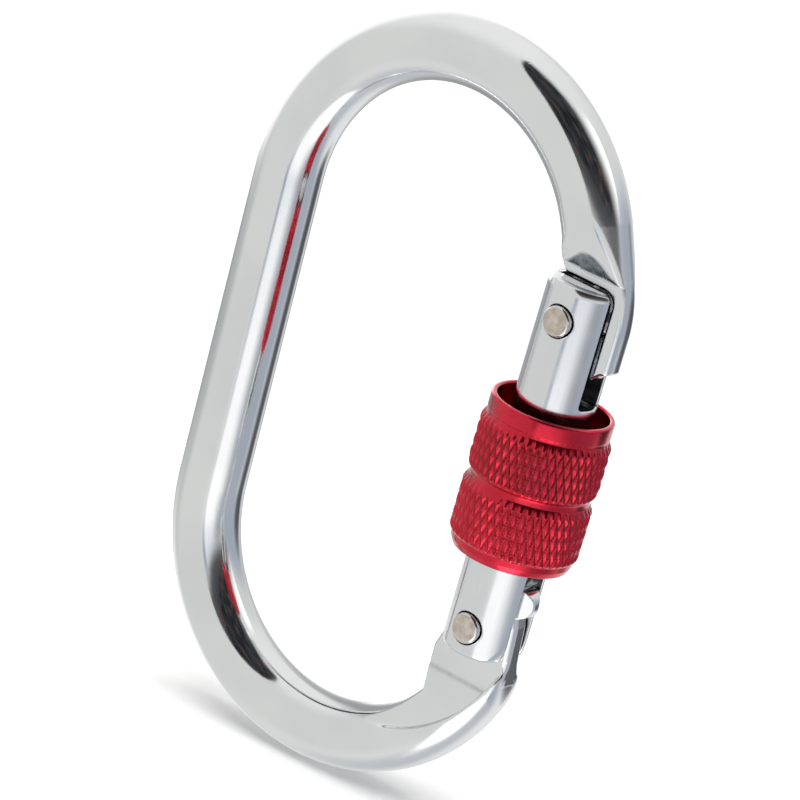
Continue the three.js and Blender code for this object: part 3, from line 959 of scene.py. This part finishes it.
def build_world():
    """The far studio: white to the camera, and pale walls with one dark opening to the metal."""
    world = bpy.data.worlds.new("studio")
    bpy.context.scene.world = world
    world.use_nodes = True
    tree = world.node_tree
    tree.nodes.clear()
    way = add(tree, "ShaderNodeTexCoord").outputs["Generated"]
    height = add(tree, "ShaderNodeSeparateXYZ", {0: way}).outputs[2]

    upper_left = cap(tree, way, -130, 60, 10, 60)
    sky = blend_colours(tree, upper_left, colour(0.73, 0.735, 0.72), colour(0.91, 0.905, 0.895))
    sky = blend_colours(tree, cap(tree, way, -120, -2, 18, 42), sky, colour(1.18, 1.17, 1.15))
    sky = blend_colours(tree, cap(tree, way, -125, 0, 4, 17), sky, colour(4.0, 4.0, 4.0))
    sky = blend_colours(tree, fade(tree, height, -0.6, -0.95), sky, colour(0.80, 0.795, 0.785))
    right = fade(tree, facing(tree, way, toward(130, -30)), 0.45, 0.75)
    sky = blend_colours(tree, right, sky, colour(0.42, 0.455, 0.52))
    sky = blend_colours(tree, cap(tree, way, 150, -75, 10, 45), sky, colour(0.59, 0.61, 0.64))
    sky = blend_colours(tree, cap(tree, way, 165, -35, 10, 40), sky, colour(0.88, 0.885, 0.89))
    sky = blend_colours(tree, cap(tree, way, 155, -12, 5, 22), sky, colour(0.10, 0.105, 0.115))
    share, tone = dark_opening(tree, way, height)
    sky = blend_colours(tree, share, sky, tone)

    seen = add(tree, "ShaderNodeLightPath").outputs["Is Camera Ray"]
    sky = blend_colours(tree, seen, sky, colour(1, 1, 1))
    background = add(tree, "ShaderNodeBackground", {"Color": sky, "Strength": 1.0})
    output = add(tree, "ShaderNodeOutputWorld")
    tree.links.new(background.outputs[0], output.inputs[0])


def build_dome(name, radius, paint):
    """A dome close round the carabiner that only metal mirrors.

    paint gives its cover and its colour by direction."""
    mesh = bpy.data.meshes.new(name)
    shell = bmesh.new()
    bmesh.ops.create_icosphere(shell, subdivisions=5, radius=radius)
    shell.to_mesh(mesh)
    shell.free()
    made = bpy.data.materials.new(name)
    made.use_nodes = True
    tree = made.node_tree
    tree.nodes.clear()
    point = add(tree, "ShaderNodeNewGeometry").outputs["Position"]
    way = add(tree, "ShaderNodeVectorMath", {0: point}, operation="NORMALIZE").outputs[0]
    height = add(tree, "ShaderNodeSeparateXYZ", {0: way}).outputs[2]
    share, tone = paint(tree, way, height)
    glow = add(tree, "ShaderNodeEmission", {"Color": tone, "Strength": 1.0}).outputs[0]
    clear = add(tree, "ShaderNodeBsdfTransparent").outputs[0]
    surface = add(tree, "ShaderNodeMixShader", {0: share, 1: clear, 2: glow})
    output = add(tree, "ShaderNodeOutputMaterial")
    tree.links.new(surface.outputs[0], output.inputs[0])
    made.cycles.emission_sampling = "NONE"
    mesh.materials.append(made)
    dome = put(name, mesh)
    dome.visible_camera = False
    dome.visible_diffuse = False
    dome.visible_shadow = False


def bright_card(tree, way, height):
    """A white card low on the camera's right, with a thin shaded edge on its left."""
    across = facing(tree, way, toward(107, 0))
    front = facing(tree, way, toward(0, 0))
    card = product(tree, fade(tree, across, 0.0, 0.14), fade(tree, front, -0.02, 0.40),
                   fade(tree, height, 0.10, -0.12))
    near_edge = fade(tree, maths(tree, "ABSOLUTE", across), 0.14, 0.02)
    edge = product(tree, near_edge, fade(tree, height, -0.55, -0.10), fade(tree, height, 0.10, -0.10),
                   fade(tree, facing(tree, way, toward(17, 0)), 0.2, 0.6))
    low = fade(tree, height, -0.05, -0.35)
    tone = blend_colours(tree, low, colour(0.83, 0.86, 0.91), colour(1.17, 1.17, 1.16))
    tone = blend_colours(tree, cap(tree, way, 55, -54, 4, 22), tone, colour(3.2, 3.2, 3.2))
    falling = product(tree, fade(tree, across, 0.45, 1.0), fade(tree, height, -0.70, -0.35), 0.9)
    tone = blend_colours(tree, falling, tone, colour(0.10, 0.12, 0.15))
    tone = blend_colours(tree, edge, tone, colour(0.33, 0.38, 0.45))
    return maths(tree, "MAXIMUM", card, edge), tone


def grey_card(tree, way, height):
    """A grey card close beside the spine."""
    share = product(tree, cap(tree, way, -118, -8, 0, 55), fade(tree, height, -0.95, -0.35),
                    fade(tree, height, 0.35, 0.0), 0.85)
    return share, add(tree, "ShaderNodeCombineXYZ", {0: 0.26, 1: 0.27, 2: 0.28}).outputs[0]


def build_floor():
    """A pale floor that runs into the white surroundings a little way off, so that no horizon shows."""
    low = CAD_BOX[0].z - 0.0002
    reach = 3.0
    mesh = bpy.data.meshes.new("floor")
    corners = [(-reach, -reach, low), (reach, -reach, low), (reach, reach, low), (-reach, reach, low)]
    mesh.from_pydata(corners, [], [(0, 1, 2, 3)])
    made, tree, shader = new_material("floor")
    where = place(tree)
    tone = blend_colours(tree, noise(tree, where, 90, 3), colour(0.93, 0.93, 0.93), colour(0.96, 0.96, 0.96))
    away = add(tree, "ShaderNodeVectorMath", {0: where}, operation="LENGTH").outputs["Value"]
    far = fade(tree, away, 0.3, 0.8)
    tree.links.new(blend_colours(tree, far, tone, colour(0, 0, 0)), shader.inputs["Base Color"])
    tree.links.new(far, shader.inputs["Emission Strength"])
    shader.inputs["Emission Color"].default_value = colour(1, 1, 1)
    shader.inputs["Roughness"].default_value = 0.9
    made.cycles.emission_sampling = "NONE"
    mesh.materials.append(made)
    floor = put("floor", mesh)
    floor.visible_glossy = False


def build_lights():
    """One big soft box overhead. It lights the floor and is not mirrored by the metal."""
    light = bpy.data.lights.new("overhead", "AREA")
    light.shape = "DISK"
    light.size = 1.6
    light.energy = 24.0
    lamp = put("overhead", light)
    lamp.location = (0.25, -0.35, 1.4)
    lamp.rotation_mode = "QUATERNION"
    lamp.rotation_quaternion = lamp.location.to_track_quat("Z", "Y")
    lamp.visible_glossy = False


CAMERA_AZIMUTH, CAMERA_ELEVATION, CAMERA_ROLL = 32.7, 17.0, 14.45
CAMERA_DISTANCE = 0.9325
CAMERA_SHIFT = (0.00032, 0.00084)     # the oval's centre is this far left of and above the middle
CAMERA_LENS = 295.6


def build_camera():
    """A long lens aimed at the oval's centre and rolled."""
    back = toward(CAMERA_AZIMUTH, CAMERA_ELEVATION)
    level_right = toward(CAMERA_AZIMUTH + 90, 0)
    level_up = back.cross(level_right)
    roll = math.radians(CAMERA_ROLL)
    right = level_right * math.cos(roll) + level_up * math.sin(roll)
    up = level_up * math.cos(roll) - level_right * math.sin(roll)
    centre = Vector((OVAL_X, 0, 0)) * MM
    data = bpy.data.cameras.new("camera")
    data.lens = CAMERA_LENS
    data.sensor_width = 36.0
    data.clip_start, data.clip_end = 0.01, 50.0
    camera = put("camera", data)
    place_at = centre + back * CAMERA_DISTANCE + right * CAMERA_SHIFT[0] - up * CAMERA_SHIFT[1]
    turn = Matrix((right, up, back)).transposed().to_4x4()
    camera.matrix_world = Matrix.Translation(place_at) @ turn
    bpy.context.scene.camera = camera


build_world()
build_dome("studio_bright_card", 0.15, bright_card)
build_dome("studio_grey_card", 0.085, grey_card)
build_floor()
build_lights()
build_camera()
bpy.context.scene.view_settings.view_transform = "Standard"
